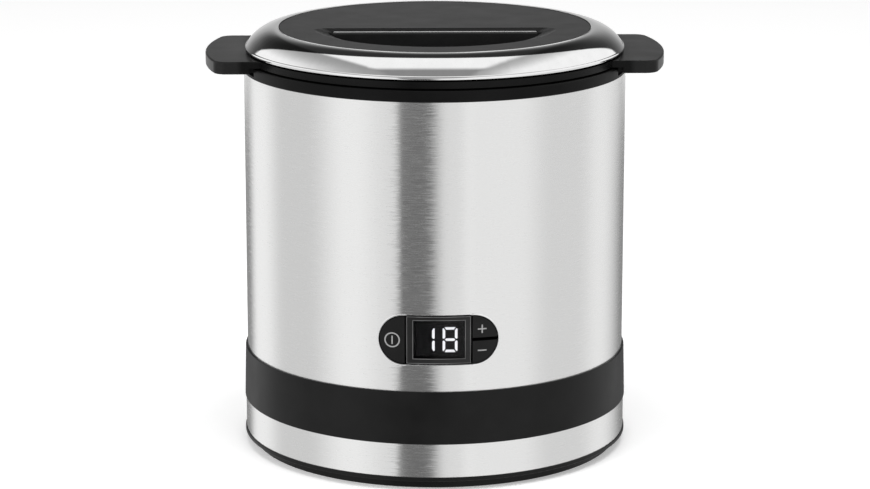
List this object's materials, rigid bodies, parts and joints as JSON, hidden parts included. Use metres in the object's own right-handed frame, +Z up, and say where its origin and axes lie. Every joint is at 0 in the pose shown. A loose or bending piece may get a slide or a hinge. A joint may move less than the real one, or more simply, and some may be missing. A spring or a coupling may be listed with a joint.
{
  "type": "frozen yogurt maker",
  "caption": "Round countertop frozen-yogurt maker: brushed steel body, eared freezer bowl, plated lid with a half-moon refill opening, geared churning paddle and a timer panel.",
  "frame": {"origin": "centre of the round footprint on the surface it stands on", "axes": "+Z up, -Y towards the control panel, +X to the right of a user who faces the panel"},
  "size_m": [0.1678, 0.1424, 0.1554],
  "materials": {
    "sleeve_steel": "brushed round the body, satin",
    "black_trim": "moulded black plastic, fine satin",
    "lid_black": "moulded black plastic, satin gloss",
    "well_grey": "moulded dark grey plastic",
    "soft_rubber": "moulded rubber",
    "silicone": "clear grey silicone",
    "screw_steel": "plain steel",
    "window": "smoked clear plastic, polished",
    "display_black": "moulded black plastic",
    "board_green": "printed circuit board",
    "button_black": "moulded black plastic, fine satin",
    "core_steel": "zinc plated",
    "frame_white": "moulded plastic",
    "gear_white": "moulded acetal",
    "brass": "turned",
    "bowl_metal": "drawn and brushed",
    "gel_blue": "cooling gel, sealed in",
    "paddle_white": "moulded plastic, satin",
    "plated_chrome": "plated, polished"
  },
  "bodies": {
    "housing": {"upper_sleeve": "sleeve_steel", "lower_sleeve": "sleeve_steel", "housing_band": "black_trim", "top_collar": "black_trim", "inner_well": "well_grey", "shaft_seal": "soft_rubber", "base_plate": "black_trim", "rubber_feet": "soft_rubber", "base_screws": "screw_steel", "cord_gland": "soft_rubber", "panel_carrier": "black_trim", "display_lens": "window", "display_module": "display_black", "control_board": "board_green", "board_screws": "screw_steel", "tact_switches": "display_black", "power_board": "board_green", "power_board_screws": "screw_steel", "power_transformer": "core_steel", "cord_terminal": "display_black", "filter_capacitor": "display_black", "gear_deck": "frame_white", "deck_screws": "screw_steel", "gear_cover": "frame_white", "gear_cover_screws": "screw_steel", "lower_bush": "brass", "upper_bush": "brass", "motor": "core_steel", "motor_screws": "screw_steel", "first_pin": "screw_steel", "second_pin": "screw_steel", "thrust_washer": "screw_steel"},
    "power_key": {"power_button": "button_black"},
    "plus_key": {"plus_button": "button_black"},
    "minus_key": {"minus_button": "button_black"},
    "motor_rotor": {"motor_shaft": "screw_steel", "motor_pinion": "brass"},
    "first_gear": {"first_wheel": "gear_white"},
    "second_gear": {"second_wheel": "gear_white"},
    "drive": {"output_wheel": "gear_white", "drive_shaft": "screw_steel", "drive_pin": "screw_steel", "shaft_clip": "screw_steel"},
    "bowl": {"bowl_inner_shell": "bowl_metal", "bowl_outer_shell": "well_grey", "cooling_gel": "gel_blue", "bowl_rim": "black_trim"},
    "paddle": {"paddle": "paddle_white"},
    "lid": {"trim_ring": "plated_chrome", "lid_cover": "lid_black", "lid_liner": "lid_black", "lid_seal": "silicone"}
  },
  "joints": [
    {"name": "bowl_lift", "type": "slide", "parent": "housing", "child": "bowl", "axis": [0, 0, 1], "range_m": [0, 0.09]},
    {"name": "lid_lift", "type": "slide", "parent": "bowl", "child": "lid", "axis": [0, 0, 1], "range_m": [0, 0.05]},
    {"name": "drive_spin", "type": "hinge", "parent": "housing", "child": "drive", "pos_m": [0, 0, 0.054], "axis": [0, 0, 1], "continuous": true},
    {"name": "second_gear_spin", "type": "hinge", "parent": "housing", "child": "second_gear", "pos_m": [0, 0.0301, 0.05], "axis": [0, 0, 1], "continuous": true},
    {"name": "first_gear_spin", "type": "hinge", "parent": "housing", "child": "first_gear", "pos_m": [0.02641, 0.02049, 0.045], "axis": [0, 0, 1], "continuous": true},
    {"name": "motor_spin", "type": "hinge", "parent": "housing", "child": "motor_rotor", "pos_m": [0.04271, 0.00908, 0.04], "axis": [0, 0, 1], "continuous": true},
    {"name": "paddle_spin", "type": "hinge", "parent": "bowl", "child": "paddle", "pos_m": [0, 0, 0.11], "axis": [0, 0, 1], "continuous": true},
    {"name": "power_press", "type": "slide", "parent": "housing", "child": "power_key", "axis": [0, 1, 0], "range_m": [0, 0.0006], "stiffness_N_per_m": 600, "springref_m": -0.001},
    {"name": "plus_press", "type": "slide", "parent": "housing", "child": "plus_key", "axis": [0, 1, 0], "range_m": [0, 0.0006], "stiffness_N_per_m": 600, "springref_m": -0.001},
    {"name": "minus_press", "type": "slide", "parent": "housing", "child": "minus_key", "axis": [0, 1, 0], "range_m": [0, 0.0006], "stiffness_N_per_m": 600, "springref_m": -0.001}
  ],
  "couplings": [
    {"joint": "second_gear_spin", "follows": "drive_spin", "ratio": -3.2857},
    {"joint": "first_gear_spin", "follows": "drive_spin", "ratio": 13.143},
    {"joint": "motor_spin", "follows": "drive_spin", "ratio": -59.143},
    {"joint": "paddle_spin", "follows": "drive_spin", "ratio": 1}
  ]
}
